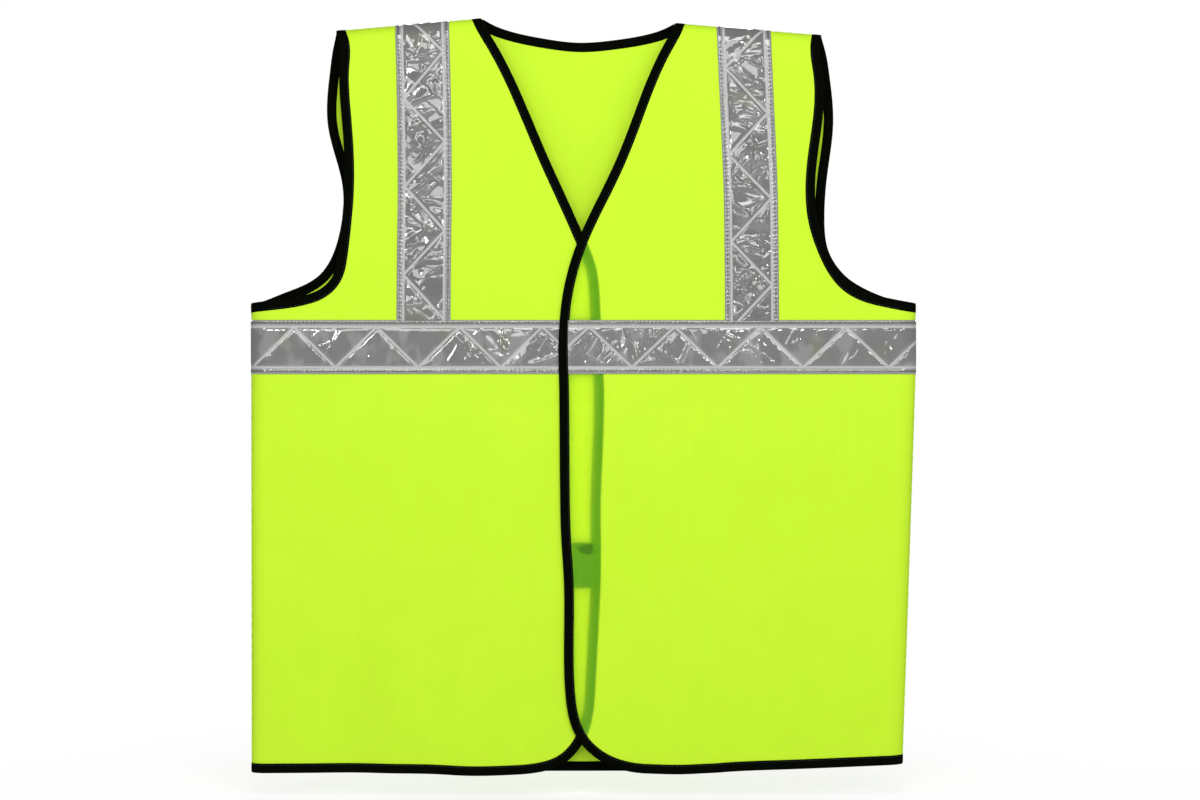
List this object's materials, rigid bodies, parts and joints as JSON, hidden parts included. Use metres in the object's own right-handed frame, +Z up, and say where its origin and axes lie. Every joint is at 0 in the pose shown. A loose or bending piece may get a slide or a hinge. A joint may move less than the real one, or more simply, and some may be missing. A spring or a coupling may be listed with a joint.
{
  "type": "high visibility vest",
  "caption": "Sleeveless fluorescent vest with a V-neck front opening, black bound edges, silver reflective brace and chest tapes, and a hook and loop closure.",
  "frame": {"origin": "on the centre plane, at the height of the two neck corners, midway between the shoulder crests and inside the depth of the garment", "axes": "+X to the wearer's left, -Y to the wearer's front, +Z up; the vest hangs from its shoulders"},
  "size_m": [0.6172, 0.021, 0.7006],
  "materials": {
    "hi_vis_fabric": "fluorescent yellow-green warp-knitted polyester, thin and slightly translucent",
    "binding": "matte black woven bias binding, folded and stitched",
    "reflective_tape": "glossy clear film welded over silver prisms in a diamond lattice",
    "hook_tape": "matte yellow-green hook tape",
    "loop_tape": "matte yellow-green brushed loop tape"
  },
  "bodies": {
    "vest_body": {"back_chest_tape": "reflective_tape", "back_hem_binding": "binding", "back_panel": "hi_vis_fabric", "left_back_armhole_binding": "binding", "left_back_brace_tape": "reflective_tape", "left_front_armhole_binding": "binding", "left_front_brace_tape": "reflective_tape", "left_front_chest_tape": "reflective_tape", "left_front_hem_binding": "binding", "left_front_panel": "hi_vis_fabric", "left_shoulder_seam": "hi_vis_fabric", "left_side_seam": "hi_vis_fabric", "neck_binding": "binding", "right_back_armhole_binding": "binding", "right_back_brace_tape": "reflective_tape", "right_front_armhole_binding": "binding", "right_front_brace_tape": "reflective_tape", "right_front_chest_tape": "reflective_tape", "right_front_hem_binding": "binding", "right_front_panel": "hi_vis_fabric", "right_shoulder_seam": "hi_vis_fabric", "right_side_seam": "hi_vis_fabric"},
    "left_front": {"left_front_flap": "hi_vis_fabric", "left_edge_binding": "binding", "left_flap_chest_tape": "reflective_tape", "hook_patch": "hook_tape"},
    "right_front": {"right_front_flap": "hi_vis_fabric", "right_edge_binding": "binding", "right_flap_chest_tape": "reflective_tape", "loop_patch": "loop_tape"}
  },
  "joints": [
    {"name": "left_front_open", "type": "hinge", "parent": "vest_body", "child": "left_front", "pos_m": [0.088, -0.011, 0], "axis": [0, 0, 1], "range_deg": [0, 150]},
    {"name": "right_front_open", "type": "hinge", "parent": "vest_body", "child": "right_front", "pos_m": [-0.088, -0.0074, 0], "axis": [0, 0, -1], "range_deg": [0, 90]}
  ],
  "couplings": [
    {"joint": "right_front_open", "follows": "left_front_open", "ratio": 0.6}
  ]
}
